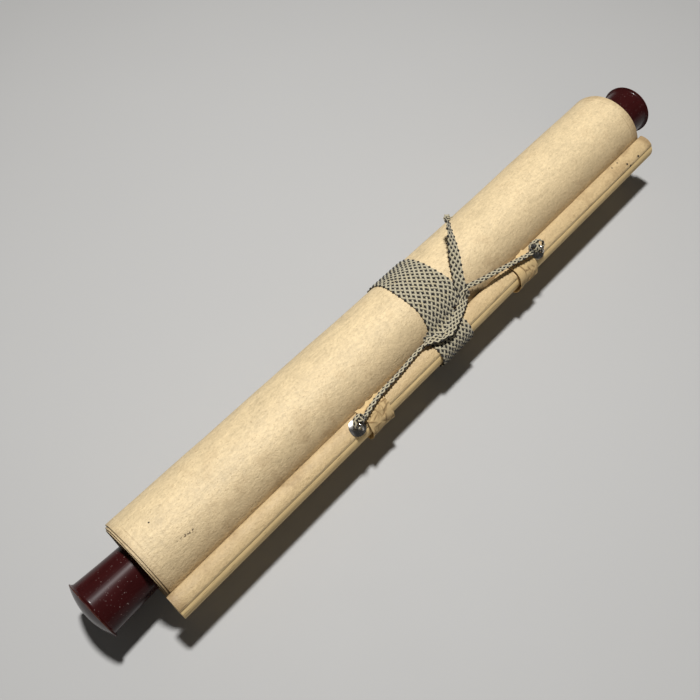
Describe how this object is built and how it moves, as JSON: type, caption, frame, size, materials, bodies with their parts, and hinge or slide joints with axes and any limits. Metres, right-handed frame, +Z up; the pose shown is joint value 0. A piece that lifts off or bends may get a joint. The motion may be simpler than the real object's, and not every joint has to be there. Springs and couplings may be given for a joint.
{
  "type": "tied hanging scroll",
  "caption": "Rolled hanging scroll of mounted paper on a rod with lacquered end knobs, its stave against the roll, wound and tied with a flat braided cord whose end stands up.",
  "frame": {"origin": "on the table under the roll's axis, at the middle of the roll's length", "axes": "+X along the roll, +Y from the stave to the far side of the roll, +Z up"},
  "size_m": [0.4544, 0.0656, 0.0617],
  "materials": {
    "mounting_paper": "aged, matt, faintly speckled",
    "rod_wood": "bare",
    "lacquer": "glossy dark red lacquer, dusty",
    "stave_wood": "bare",
    "polished_metal": "polished",
    "collar_paper": "creased, stained at its folds",
    "braid": "cream strands with dark dots"
  },
  "bodies": {
    "root": {"scroll_sheet": "mounting_paper", "roller_rod": "rod_wood", "roller_knob_left": "lacquer", "roller_knob_right": "lacquer", "top_stave": "stave_wood", "eyelet_disc_left": "polished_metal", "eyelet_disc_right": "polished_metal", "eyelet_pin_left": "polished_metal", "eyelet_pin_right": "polished_metal", "paper_collar_left": "collar_paper", "paper_collar_right": "collar_paper", "hanging_cord": "braid", "tie_cord_turns": "braid", "tie_cord_tail": "braid"}
  },
  "joints": []
}
